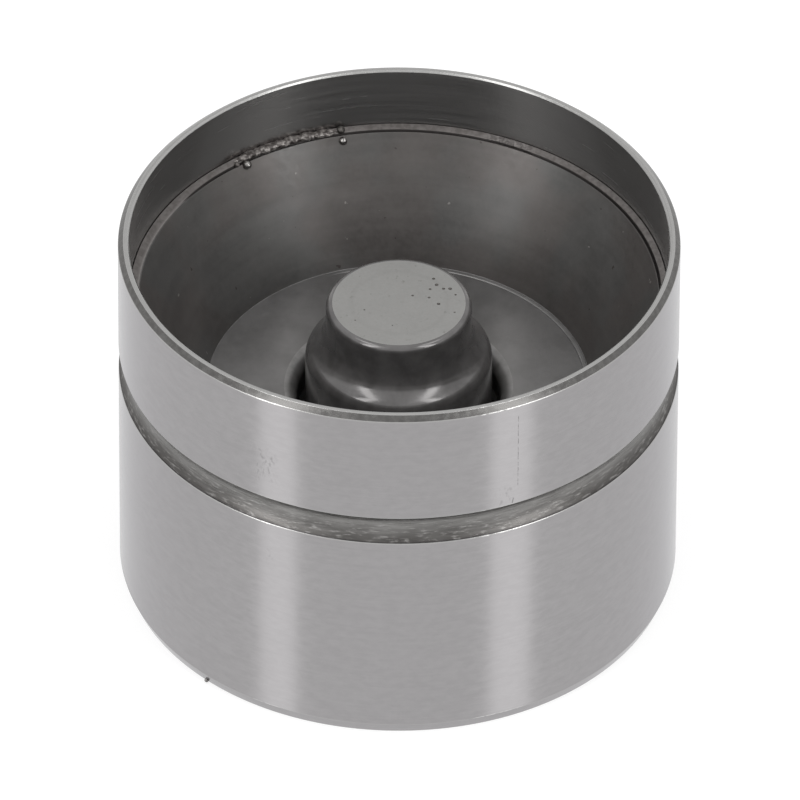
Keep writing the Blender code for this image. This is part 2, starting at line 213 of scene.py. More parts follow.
# Marks in the finishes. A range is its two ends and their softness, in degrees of azimuth or in
# millimetres, and a mark on the skirt has a range of azimuth and one of height.
SCRATCH = ((25.13, 25.22, 0.06), (18.9, 24.4, 0.1))
TICK = ((11.42, 11.56, 0.06), (17.55, 17.95, 0.04))
TICK_SLANT_DEG_PER_MM = -0.7
SCUFFS = [
    ((-30.4, -25.5, 1.2), (18.9, 21.2, 0.5)),
    ((-27.8, -25.8, 0.7), (12.2, 13.3, 0.4)),
    ((20.5, 24.0, 0.8), (17.7, 18.9, 0.4)),
]
# Two ranges of azimuth where the edges get painted glints
RIM_GLINT_RANGES = [(-30.0, -25.0, 2.0), (16.0, 26.0, 2.0)]
# Heights of the painted shade in the oil groove's upper and lower corners
GROOVE_UPPER_CORNER = (17.27, 17.7, 0.05)
GROOVE_LOWER_CORNER = (15.2, 15.5, 0.05)
ROUGH_LEDGE = (150.5, 159.5, 3.0)
NOSE_WEAR = (3.3, 3.6, 0.15)

# Material patterns
NOISE_LOW = 0.3
NOISE_HIGH = 0.7
RING_DRIFT_PER_MM = 0.04
QUARTER_TURN = 0.25


class Look:
    """One metal's node tree, with short calls for the nodes that its pattern uses."""

    def __init__(self, name, roughness, metallic=1.0):
        self.material = bpy.data.materials.new(name)
        self.material.use_nodes = True
        self.tree = self.material.node_tree
        self.shader = self.tree.nodes["Principled BSDF"]
        self.shader.inputs["Metallic"].default_value = metallic
        self.shader.inputs["Roughness"].default_value = roughness
        source = self.tree.nodes.new("ShaderNodeTexCoord")
        self.place = self.vector("SCALE", source.outputs["Object"], scale=PER_MM)
        self.height = None

    def link(self, value, socket):
        """Feed a socket from another one, or set it to a plain value."""
        if isinstance(value, bpy.types.NodeSocket):
            self.tree.links.new(value, socket)
        else:
            socket.default_value = value

    def vector(self, operation, first, second=None, scale=None):
        """A calculation on vectors."""
        node = self.tree.nodes.new("ShaderNodeVectorMath")
        node.operation = operation
        self.link(first, node.inputs[0])
        if second is not None:
            self.link(second, node.inputs[1])
        if scale is not None:
            node.inputs["Scale"].default_value = scale
        return node.outputs[0]

    def math(self, operation, first, second=0.0, third=0.0):
        """A calculation on single numbers."""
        node = self.tree.nodes.new("ShaderNodeMath")
        node.operation = operation
        self.link(first, node.inputs[0])
        self.link(second, node.inputs[1])
        self.link(third, node.inputs[2])
        return node.outputs[0]

    def axes(self):
        """The place's x, y and z in millimetres."""
        node = self.tree.nodes.new("ShaderNodeSeparateXYZ")
        self.link(self.place, node.inputs[0])
        return node.outputs["X"], node.outputs["Y"], node.outputs["Z"]

    def radius(self):
        """Distance from the axis in millimetres."""
        x, y, _ = self.axes()
        square = self.math("ADD", self.math("POWER", x, 2.0), self.math("POWER", y, 2.0))
        return self.math("SQRT", square)

    def azimuth(self):
        """Angle round the axis in degrees, 0 at the camera's side and growing towards +X."""
        x, y, _ = self.axes()
        return self.math("DEGREES", self.math("ARCTAN2", x, self.math("MULTIPLY", y, -1.0)))

    def fill(self, node, **inputs):
        """Feed several of a node's inputs."""
        for name, value in inputs.items():
            self.link(value, node.inputs[name])

    def noise(self, per_mm, detail=3.0, roughness=0.55, seed=0.0, distortion=0.0):
        """Noise of 0 to 1. Its fineness is in cycles a millimetre, one for all axes or one for each."""
        fineness = per_mm if isinstance(per_mm, tuple) else (per_mm, per_mm, per_mm)
        node = self.tree.nodes.new("ShaderNodeTexNoise")
        node.noise_dimensions = "4D"
        self.fill(node, Vector=self.vector("MULTIPLY", self.place, fineness), W=seed, Scale=1.0)
        self.fill(node, Detail=detail, Roughness=roughness, Distortion=distortion)
        return node.outputs["Fac"]

    def ring_noise(self, per_mm, seed, detail):
        """Noise that changes with the distance from the axis, as turning marks do."""
        node = self.tree.nodes.new("ShaderNodeTexNoise")
        combine = self.tree.nodes.new("ShaderNodeCombineXYZ")
        x, y, _ = self.axes()
        self.fill(combine, X=self.math("MULTIPLY_ADD", self.radius(), per_mm, seed))
        self.fill(combine, Y=self.math("MULTIPLY", x, RING_DRIFT_PER_MM))
        self.fill(combine, Z=self.math("MULTIPLY", y, RING_DRIFT_PER_MM))
        self.fill(node, Vector=combine.outputs[0], Scale=1.0, Detail=detail)
        return node.outputs["Fac"]

    def between(self, value, low, high, to_low=0.0, to_high=1.0):
        """Carry a value's range over to another one, smoothly and with nothing past its ends."""
        node = self.tree.nodes.new("ShaderNodeMapRange")
        node.interpolation_type = "SMOOTHSTEP"
        for socket, number in zip(node.inputs[:5], (value, low, high, to_low, to_high)):
            self.link(number, socket)
        return node.outputs[0]

    def window(self, value, low, high, soft):
        """1 between two values and 0 outside, with soft ends."""
        rise = self.between(value, low - soft, low + soft)
        fall = self.between(value, high - soft, high + soft, 1.0, 0.0)
        return self.math("MULTIPLY", rise, fall)

    def patch(self, azimuth, ranges):
        """1 inside a range of azimuth and one of height, and 0 outside."""
        across, upright = ranges
        _, _, z = self.axes()
        return self.math("MULTIPLY", self.window(azimuth, *across), self.window(z, *upright))

    def stretch(self, pattern, to_low=0.0, to_high=1.0):
        """Carry the middle of a noise's range over to another range."""
        return self.between(pattern, NOISE_LOW, NOISE_HIGH, to_low, to_high)

    def weigh(self, *terms):
        """Sum of patterns, each given with its weight."""
        total = 0.0
        for pattern, weight in terms:
            total = self.math("MULTIPLY_ADD", pattern, weight, total)
        return total

    def blend(self, factor, first, second):
        """Go from one colour to another."""
        node = self.tree.nodes.new("ShaderNodeMix")
        node.data_type = "RGBA"
        self.link(factor, node.inputs["Factor"])
        for socket, colour in zip((node.inputs["A"], node.inputs["B"]), (first, second)):
            self.link((*colour, 1.0) if isinstance(colour, tuple) else colour, socket)
        return node.outputs["Result"]

    def raise_surface(self, height, depth_mm):
        """Add a pattern of 0 to 1 to the surface's relief, at its real depth."""
        scaled = self.math("MULTIPLY", height, depth_mm * MM)
        self.height = scaled if self.height is None else self.math("ADD", self.height, scaled)

    def set(self, name, value):
        """Feed one of the shader's inputs."""
        self.link(value, self.shader.inputs[name])

    def turned_lay(self, anisotropy):
        """Finish marks that run round the axis, which spread a reflection across them."""
        tangent = self.tree.nodes.new("ShaderNodeTangent")
        tangent.direction_type = "RADIAL"
        tangent.axis = "Z"
        self.set("Anisotropic", anisotropy)
        self.set("Tangent", tangent.outputs[0])
        self.set("Anisotropic Rotation", QUARTER_TURN)

    def finish(self, colour):
        """Put colour and relief on the shader and give the material."""
        self.set("Base Color", colour)
        if self.height is not None:
            bump = self.tree.nodes.new("ShaderNodeBump")
            bump.inputs["Distance"].default_value = 1.0
            self.link(self.height, bump.inputs["Height"])
            self.set("Normal", bump.outputs[0])
        return self.material


def plain_metal(name, dark, light, roughness, fineness, relief_mm, spread=0.05, metallic=1.0):
    """A metal whose tone and gloss wander with one noise, for surfaces that need no marks."""
    look = Look(name, roughness, metallic)
    grain = look.noise(fineness, detail=4.0)
    look.set("Roughness", look.between(grain, 0.25, 0.75, roughness - spread, roughness + spread))
    look.raise_surface(grain, relief_mm)
    return look.finish(look.blend(look.stretch(grain), dark, light))


def skirt_finish():
    """Ground skirt: lay round the axis, faint clouds, and the scratch and scuffs of handling."""
    look = Look("ground_steel", 0.2)
    look.set("Specular Tint", (0.93, 0.93, 0.94, 1.0))
    look.turned_lay(0.5)
    lay = look.noise((0.12, 0.12, 9.0), detail=4.0)
    clouds = look.noise((0.25, 0.25, 0.3), detail=4.0, seed=3.0)
    grain = look.noise((1.2, 1.2, 2.4), detail=4.0, seed=7.0)
    tone = look.weigh((clouds, 0.4), (look.stretch(lay), 0.2), (look.stretch(grain), 0.4))
    colour = look.blend(tone, (0.318, 0.309, 0.313), (0.367, 0.358, 0.362))

    azimuth = look.azimuth()
    _, _, z = look.axes()
    wander = look.math("MULTIPLY_ADD", look.noise((0.0, 0.0, 1.1), seed=21.0), 0.3, azimuth)
    broken = look.between(look.noise((0.0, 0.0, 3.2), detail=5.0, seed=11.0), 0.44, 0.56)
    scratch = look.math("MULTIPLY", look.patch(wander, SCRATCH), broken)
    slant = look.math("MULTIPLY_ADD", z, TICK_SLANT_DEG_PER_MM, azimuth)
    tick = look.patch(slant, TICK)
    flecks = look.between(look.noise((4.0, 4.0, 1.8), detail=5.0, seed=31.0, distortion=0.8), 0.5, 0.68)
    scuffs = look.weigh(*[(look.patch(azimuth, scuff), 0.5) for scuff in SCUFFS])
    scuffs = look.math("MULTIPLY", scuffs, flecks)
    marks = look.math("MAXIMUM", look.math("MAXIMUM", scratch, tick), scuffs)

    roughness = look.between(grain, 0.25, 0.75, 0.185, 0.225)
    look.set("Roughness", look.math("MULTIPLY_ADD", marks, 0.12, roughness))
    look.raise_surface(lay, 0.0004)
    look.raise_surface(marks, -0.006)
    return look.finish(look.blend(marks, colour, (0.2, 0.195, 0.195)))


def groove_finish():
    """Turned oil groove: streaky, with painted shade that darkens it towards its lower edge and in both
    corners.
    """
    look = Look("groove_steel", 0.34)
    _, _, z = look.axes()
    streaks = look.noise((0.5, 0.5, 6.0), detail=5.0, seed=2.0)
    blotches = look.noise((0.45, 0.45, 1.0), detail=4.0, seed=5.0)
    flecks = look.between(look.noise((1.6, 1.6, 9.0), detail=5.0, seed=27.0), 0.5, 0.72)
    # Painted shade: darker towards the groove's lower edge, with a blotchy boundary
    level = look.math("MULTIPLY_ADD", blotches, 0.9, look.math("ADD", z, -0.45))
    above_painted_shade = look.between(level, 15.4, 17.0)
    painted_shade_colour = look.blend(streaks, (0.06, 0.057, 0.055), (0.115, 0.11, 0.106))
    lighter = look.blend(look.stretch(streaks), (0.19, 0.186, 0.18), (0.3, 0.295, 0.287))
    colour = look.blend(above_painted_shade, painted_shade_colour, lighter)
    colour = look.blend(look.math("MULTIPLY", flecks, 0.4), colour, (0.45, 0.44, 0.43))
    # Painted shade in the groove's upper corner, fading from azimuth 42 to 60 degrees, and in its lower
    # corner
    upper = look.window(z, *GROOVE_UPPER_CORNER)
    upper = look.math("MULTIPLY", upper, look.between(look.azimuth(), 42.0, 60.0, 0.9, 0.2))
    lower = look.math("MULTIPLY", look.window(z, *GROOVE_LOWER_CORNER), 0.75)
    look.set("Roughness", look.stretch(streaks, 0.26, 0.4))
    look.raise_surface(streaks, 0.01)
    look.raise_surface(flecks, 0.01)
    return look.finish(look.blend(look.math("MAXIMUM", upper, lower), colour, (0.035, 0.033, 0.034)))


def rim_finish():
    """Turned rim: fine lines round it, and faint knocks."""
    look = Look("rim_steel", 0.26)
    lines = look.ring_noise(11.0, seed=4.0, detail=3.0)
    knocks = look.noise(1.6, detail=4.0, seed=9.0)
    tone = look.weigh((knocks, 0.4), (look.stretch(lines), 0.6))
    look.set("Roughness", look.stretch(knocks, 0.22, 0.32))
    look.raise_surface(lines, 0.0015)
    look.raise_surface(knocks, 0.004)
    return look.finish(look.blend(tone, (0.29, 0.287, 0.281), (0.43, 0.427, 0.42)))


def edge_finish():
    """Rubbed edges, painted a little brighter than the faces beside them as an edge highlight, with painted
    glints and bumps in two ranges of azimuth.
    """
    look = Look("edge_steel", 0.24)
    nicks = look.noise(3.0, detail=5.0, seed=25.0)
    azimuth = look.azimuth()
    # Painted glints where the lamps shine back, broken up by the nicks
    painted_glints = look.weigh(*[(look.window(azimuth, *knock), 1.0) for knock in RIM_GLINT_RANGES])
    painted_glints = look.math("MULTIPLY", painted_glints, look.between(nicks, 0.4, 0.6))
    look.raise_surface(painted_glints, 0.006)
    # Edges rubbed and painted a little brighter than their faces: a painted edge highlight
    wear_and_highlight = look.blend(nicks, (0.34, 0.335, 0.33), (0.44, 0.435, 0.43))
    return look.finish(look.blend(painted_glints, wear_and_highlight, (0.6, 0.595, 0.585)))


def wall_finish():
    """Bored wall inside the rim, darkened in a band at its foot: painted shade in the corner above the ledge
    all round, and a sooty stain that reaches higher beside the weld.
    """
    look = Look("wall_steel", 0.24, metallic=0.92)
    look.turned_lay(0.5)
    lay = look.noise((0.1, 0.1, 5.0), detail=4.0, seed=1.0)
    clouds = look.noise((0.2, 0.2, 0.35), detail=3.0, seed=6.0)
    tone = look.weigh((clouds, 0.5), (lay, 0.5))
    colour = look.blend(tone, (0.33, 0.325, 0.32), (0.4, 0.395, 0.388))
    _, _, z = look.axes()
    # Painted shade in the corner just above the ledge all round; beside the weld it reaches higher as soot
    ragged = look.noise(1.8, detail=5.0, seed=13.0)
    near_weld = look.window(look.azimuth(), WELD_START_DEG - 1.5, WELD_END_DEG + 3.0, 2.5)
    reach = look.math("MULTIPLY_ADD", look.math("MULTIPLY", near_weld, ragged), 0.6, 21.36)
    soot_and_shade = look.between(look.math("SUBTRACT", reach, z), -0.15, 0.15, 0.0, 0.7)
    look.set("Roughness", look.between(lay, 0.25, 0.75, 0.2, 0.28))
    return look.finish(look.blend(soot_and_shade, colour, (0.12, 0.104, 0.098)))


def ledge_finish():
    """Rim land of the cup, brown and grainy, with a painted highlight along its inner edge, painted shade in
    the seam below its level, and one brighter rough patch.
    """
    look = Look("ledge_steel", 0.42, metallic=0.6)
    grain = look.noise(3.0, detail=5.0, seed=8.0)
    clouds = look.noise(0.35, detail=3.0, seed=12.0)
    radius = look.radius()
    # Painted highlight along the ledge's inner edge
    inner = look.between(look.math("MULTIPLY_ADD", grain, 0.2, radius), 16.36, 16.5, 1.0, 0.0)
    speckle = look.between(look.noise(6.0, detail=4.0, seed=17.0), 0.4, 0.62)
    rough = look.math("MULTIPLY", look.window(look.azimuth(), *ROUGH_LEDGE), speckle)
    fine = look.between(grain, 0.35, 0.65)
    tone = look.weigh((fine, 0.3), (inner, 0.45), (clouds, 0.3), (rough, 0.7))
    look.raise_surface(grain, 0.03)
    look.raise_surface(rough, 0.05)
    colour = look.blend(tone, (0.075, 0.067, 0.063), (0.24, 0.225, 0.218))
    # Painted shade in the seam, wherever the surface lies below the ledge's level
    _, _, z = look.axes()
    fall = LEDGE_FALL / LEDGE_WIDTH
    level = look.math("MULTIPLY_ADD", radius, fall, (ledge_z - land_r * fall) * PER_MM)
    sunk = look.math("SUBTRACT", level, z)
    return look.finish(look.blend(look.between(sunk, 0.015, 0.06), colour, (0.02, 0.017, 0.016)))


def cone_finish():
    """Drawn cone of the dish: satin, lightly mottled brown and grey, with small specks."""
    look = Look("cone_steel", 0.36, metallic=0.55)
    blotches = look.noise((0.3, 0.3, 0.35), detail=5.0, seed=14.0, roughness=0.6)
    grain = look.noise(3.0, detail=4.0, seed=15.0)
    lines = look.ring_noise(3.6, seed=6.0, detail=4.0)
    tone = look.weigh((grain, 0.45), (look.stretch(blotches), 0.4), (look.stretch(lines), 0.15))
    hue = look.noise(0.18, detail=2.0, seed=16.0)
    brown = look.blend(tone, (0.071, 0.065, 0.062), (0.131, 0.122, 0.117))
    grey = look.blend(tone, (0.07, 0.069, 0.067), (0.127, 0.124, 0.121))
    specks = look.noise(1.7, detail=2.0, seed=33.0)
    bright = look.between(specks, 0.735, 0.765)
    dull = look.between(specks, 0.25, 0.28, 1.0, 0.0)
    colour = look.blend(look.between(hue, 0.4, 0.6), grey, brown)
    colour = look.blend(look.math("MULTIPLY", bright, 0.4), colour, (0.4, 0.38, 0.36))
    colour = look.blend(look.math("MULTIPLY", dull, 0.7), colour, (0.04, 0.03, 0.028))
    look.set("Roughness", look.stretch(grain, 0.33, 0.42))
    look.raise_surface(grain, 0.003)
    return look.finish(colour)


def floor_finish():
    """Flat floor of the dish and the mouth of its sleeve: satin grey."""
    look = Look("dish_floor_steel", 0.34, metallic=0.7)
    clouds = look.noise(0.4, detail=5.0, seed=18.0)
    specks = look.noise(2.5, detail=4.0, seed=19.0)
    tone = look.weigh((specks, 0.4), (look.between(clouds, 0.35, 0.65), 0.6))
    look.set("Roughness", look.stretch(specks, 0.3, 0.4))
    look.raise_surface(specks, 0.005)
    return look.finish(look.blend(tone, (0.138, 0.135, 0.133), (0.204, 0.2, 0.198)))


def nose_finish():
    """Ground end face of the plunger: matt, with fine grain."""
    look = Look("nose_face_steel", 0.38)
    clouds = look.noise(0.5, detail=4.0, seed=20.0)
    grain = look.noise(6.0, detail=3.0, seed=22.0)
    wear_and_highlight = look.window(look.math("MULTIPLY_ADD", clouds, 0.8, look.radius()), *NOSE_WEAR)
    tone = look.weigh((grain, 0.5), (clouds, 0.5), (wear_and_highlight, -0.12))
    stains = look.between(look.noise(2.6, detail=4.0, seed=29.0), 0.6, 0.72, 0.0, 0.5)
    look.raise_surface(grain, 0.003)
    colour = look.blend(tone, (0.245, 0.243, 0.235), (0.345, 0.342, 0.333))
    return look.finish(look.blend(stains, colour, (0.16, 0.155, 0.145)))


def weld_finish():
    """Heat-darkened weld metal, lighter and glossier in patches that follow a noise."""
    look = Look("weld_steel", 0.36, metallic=0.5)
    lumps = look.noise(3.6, detail=5.0, seed=23.0)
    look.set("Roughness", look.stretch(lumps, 0.5, 0.25))
    look.raise_surface(lumps, 0.05)
    lighter = look.between(lumps, 0.4, 0.66)
    return look.finish(look.blend(lighter, (0.06, 0.052, 0.049), (0.27, 0.252, 0.24)))


ground_steel = skirt_finish()
groove_steel = groove_finish()
rim_steel = rim_finish()
wall_steel = wall_finish()
ledge_steel = ledge_finish()
cone_steel = cone_finish()
floor_steel = floor_finish()
face_steel = nose_finish()
weld_steel = weld_finish()
edge_steel = edge_finish()
# Outer chamfer of the rim: a darker copy of the rim steel, as painted shade
chamfer_steel = plain_metal("chamfer_steel", (0.11, 0.107, 0.104), (0.15, 0.147, 0.143), 0.26, 2.4, 0.002)
cam_steel = plain_metal("cam_face_steel", (0.33, 0.325, 0.32), (0.4, 0.395, 0.39), 0.24, 3.0, 0.0006)
bore_steel = plain_metal(
    "bore_steel", (0.17, 0.166, 0.16), (0.22, 0.215, 0.208), 0.36, (0.5, 0.5, 2.0), 0.002
)
bend_steel = plain_metal(
    "bend_steel", (0.18, 0.176, 0.173), (0.25, 0.245, 0.24), 0.36, 1.5, 0.004, metallic=0.45
)
dark_steel = plain_metal(
    "dark_steel", (0.112, 0.108, 0.107), (0.165, 0.16, 0.159), 0.17, 0.8, 0.005, metallic=0.55
)
# Dark finish that the pit cutter leaves in the nose's pits, as painted shade; the dark spatter droplet has
# it too
pit_steel = plain_metal("pit_steel", (0.06, 0.056, 0.052), (0.14, 0.132, 0.125), 0.5, 8.0, 0.004)
spatter_steel = plain_metal("spatter_steel", (0.08, 0.075, 0.072), (0.36, 0.35, 0.34), 0.16, 1.4, 0.002)
piston_steel = plain_metal("piston_steel", (0.5, 0.5, 0.5), (0.58, 0.58, 0.58), 0.2, (0.3, 0.3, 8.0), 0.0005)
ball_steel = plain_metal(
    "ball_steel", (0.66, 0.66, 0.67), (0.72, 0.72, 0.73), 0.08, 2.0, 0.0001, spread=0.02
)
spring_steel = plain_metal("spring_steel", (0.3, 0.3, 0.31), (0.42, 0.42, 0.43), 0.3, 4.0, 0.0008)
cage_steel = plain_metal("cage_steel", (0.42, 0.41, 0.38), (0.5, 0.49, 0.46), 0.34, 1.5, 0.001)


def rounded(corners):
    """Turn (radius, height, rounding, finish) corners into outline points, each with the finish that
    follows it. A rounding is a fillet radius. Its arc has a fifth entry's finish if there is one."""
    points = []
    count = len(corners)
    for index, (r, z, rounding, finish, *arc_finish) in enumerate(corners):
        here = Vector((r, z))
        if not rounding:
            points.append((r, z, finish))
            continue
        to_last = Vector(corners[index - 1][:2]) - here
        to_next = Vector(corners[(index + 1) % count][:2]) - here
        half = to_last.angle(to_next) / 2
        cut_back = rounding / math.tan(half)
        start = here + to_last.normalized() * cut_back
        end = here + to_next.normalized() * cut_back
        bisector = (to_last.normalized() + to_next.normalized()).normalized()
        centre = here + bisector * rounding / math.sin(half)
        steps = max(FEWEST_ARC_STEPS, math.ceil((180.0 - 2 * math.degrees(half)) / ARC_STEP_DEG))
        first = start - centre
        turn = first.angle_signed(end - centre)
        for step in range(steps + 1):
            spoke = Matrix.Rotation(-turn * step / steps, 2) @ first
            on_arc = arc_finish and step < steps
            points.append((centre.x + spoke.x, centre.y + spoke.y, arc_finish[0] if on_arc else finish))
    return points


def object_from(name, vertices, faces, finishes, face_finish=None):
    """A smooth-shaded object from points and faces. Every face has the first finish, or the one whose
    number is given for it."""
    mesh = bpy.data.meshes.new(name)
    mesh.from_pydata(vertices, [], faces)
    for finish in finishes:
        mesh.materials.append(finish)
    if face_finish:
        mesh.polygons.foreach_set("material_index", face_finish)
    bm = bmesh.new()
    bm.from_mesh(mesh)
    bmesh.ops.recalc_face_normals(bm, faces=bm.faces)
    bm.to_mesh(mesh)
    bm.free()
    mesh.shade_smooth()
    mesh.set_sharp_from_angle(angle=SHARP_ANGLE)
    piece = bpy.data.objects.new(name, mesh)
    bpy.context.scene.collection.objects.link(piece)
    return piece


def turned(name, outline, segments=INNER_SEGMENTS, height_at=None):
    """Spin an outline round the axis. It is closed unless it starts and ends on the axis. A function may
    give each point another height, from its radius, its height and its azimuth."""
    finishes = list(dict.fromkeys(point[2] for point in outline))
    vertices = []
    rings = []
    for r, z, _ in outline:
        if r < ON_AXIS:
            rings.append([len(vertices)] * segments)
            vertices.append((0.0, 0.0, z))
            continue
        rings.append(list(range(len(vertices), len(vertices) + segments)))
        for segment in range(segments):
            azimuth = math.tau * segment / segments
            height = height_at(r, z, azimuth) if height_at else z
            vertices.append((r * math.sin(azimuth), -r * math.cos(azimuth), height))
    faces = []
    face_finish = []
    pairs = len(outline) - 1 if outline[0][0] < ON_AXIS else len(outline)
    for index in range(pairs):
        lower = rings[index]
        upper = rings[(index + 1) % len(outline)]
        for segment in range(segments):
            beside = (segment + 1) % segments
            corners = [lower[segment], lower[beside], upper[beside], upper[segment]]
            faces.append(list(dict.fromkeys(corners)))
            face_finish.append(finishes.index(outline[index][2]))
    return object_from(name, vertices, faces, finishes, face_finish)


def keep_flats_flat(piece):
    """Shade by face area, so that fine roundings don't bend the light on the flats beside them."""
    weighted = piece.modifiers.new("flat_shading", "WEIGHTED_NORMAL")
    weighted.keep_sharp = True


def cut(piece, cutter):
    """Take a cutter's shape out of a piece, with the cutter's own finish on the cut, and delete it."""
    boolean = piece.modifiers.new("cut", "BOOLEAN")
    boolean.operation = "DIFFERENCE"
    boolean.solver = "EXACT"
    boolean.material_mode = "TRANSFER"
    boolean.object = cutter
    bpy.context.view_layer.update()
    done = bpy.data.meshes.new_from_object(piece.evaluated_get(bpy.context.evaluated_depsgraph_get()))
    piece.modifiers.remove(boolean)
    piece.data = done
    bpy.data.objects.remove(cutter, do_unlink=True)
    piece.data.set_sharp_from_angle(angle=SHARP_ANGLE)


def prism(name, outline, low_z, high_z, finish):
    """A plan outline of (x, y) points raised from one height to another."""
    count = len(outline)
    vertices = [(x, y, low_z) for x, y in outline] + [(x, y, high_z) for x, y in outline]
    sides = [[i, (i + 1) % count, (i + 1) % count + count, i + count] for i in range(count)]
    faces = sides + [list(range(count)), list(range(count, 2 * count))]
    return object_from(name, vertices, faces, [finish])


def half_circle(centre_y, radius, start_deg, steps):
    """Plan points of a half circle on the Y axis."""
    angles = [math.radians(start_deg + 180.0 * step / steps) for step in range(steps + 1)]
    return [(radius * math.cos(angle), centre_y + radius * math.sin(angle)) for angle in angles]


def rod(name, radius, start, end, finish):
    """A cylinder between two points, as a cutter."""
    along = Vector(end) - Vector(start)
    outline = half_circle(0.0, radius, 0.0, HOLE_SEGMENTS // 2)[:-1]
    outline += half_circle(0.0, radius, 180.0, HOLE_SEGMENTS // 2)[:-1]
    piece = prism(name, outline, 0.0, along.length, finish)
    piece.data.transform(Matrix.Translation(start) @ along.to_track_quat("Z", "Y").to_matrix().to_4x4())
    return piece


def tube_faces(steps, sides):
    """Faces of a tube whose points come ring by ring, closed at both ends."""
    faces = [list(range(sides)), list(range(steps * sides, (steps + 1) * sides))]
    for here in range(0, steps * sides, sides):
        for side in range(sides):
            beside = (side + 1) % sides
            faces.append([here + side, here + beside, here + sides + beside, here + sides + side])
    return faces


def sphere(radius, segments, rings):
    """Points and faces of a sphere round the origin."""
    bm = bmesh.new()
    bmesh.ops.create_uvsphere(bm, u_segments=segments, v_segments=rings, radius=radius)
    points = [vertex.co.copy() for vertex in bm.verts]
    faces = [[vertex.index for vertex in face.verts] for face in bm.faces]
    bm.free()
    return points, faces


def coil(name, mean_r, wire, turns, height_at, low_z, high_z, start=0.0):
    """Spring wire wound round the axis, cut flat where it would pass its lowest or highest level."""
    steps = round(turns * COIL_STEPS_PER_TURN)
    vertices = []
    for step in range(steps + 1):
        turn = turns * step / steps
        angle = start + math.tau * turn
        for side in range(WIRE_SIDES):
            around = math.tau * (side + 0.5) / WIRE_SIDES
            radius = mean_r + wire / 2 * math.cos(around)
            z = min(max(height_at(turn) + wire / 2 * math.sin(around), low_z), high_z)
            vertices.append((radius * math.cos(angle), radius * math.sin(angle), z))
    return object_from(name, vertices, tube_faces(steps, WIRE_SIDES), [spring_steel])


def place(piece, body, slot, *nodes):
    """Say which body a piece rides on and which CAD nodes it stands for. Its slot, the finish's name, is not
    used.
    """
    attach(piece, body)
    if nodes:
        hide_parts(*nodes)


reservoir_r = outer_r - SKIRT_WALL
rim_bore_r = outer_r - RIM_WALL
ledge_inner_r = land_r - LEDGE_WIDTH
ledge_inner_z = ledge_z - LEDGE_FALL
floor_edge_r = FLOOR_DIAMETER / 2
cone_slope = math.atan2(ledge_inner_z - FLOOR_HEIGHT, ledge_inner_r - floor_edge_r)
mouth_r = plunger_r + MOUTH_GAP
guide_bore_r = plunger_r + RUNNING_CLEARANCE
sleeve_r = guide_bore_r + SLEEVE_WALL
neck_r = NECK_DIAMETER / 2
piston_r = piston_high.x
bore_r = piston_r + RUNNING_CLEARANCE
bore_end_z = nose_z - NOSE_SOLID
head_z = piston_high.z


def cone_line(offset, radius):
    """Height at a radius on the dish's cone, moved outwards from its upper face by an offset."""
    start_r = floor_edge_r + offset * math.sin(cone_slope)
    start_z = FLOOR_HEIGHT - offset * math.cos(cone_slope)
    return start_z + (radius - start_r) * math.tan(cone_slope)


def groove_arc():
    """Round bottom of the oil groove, from its upper edge to its lower one."""
    half = OIL_GROOVE_WIDTH / 2
    arc_r = (half**2 + OIL_GROOVE_DEPTH**2) / (2 * OIL_GROOVE_DEPTH)
    centre_r = outer_r - OIL_GROOVE_DEPTH + arc_r
    reach = math.asin(half / arc_r)
    points = []
    for step in range(1, OIL_GROOVE_STEPS):
        angle = reach * (1.0 - 2.0 * step / OIL_GROOVE_STEPS)
        r = centre_r - arc_r * math.cos(angle)
        points.append((r, OIL_GROOVE_CENTRE + arc_r * math.sin(angle), 0.0, groove_steel))
    return points


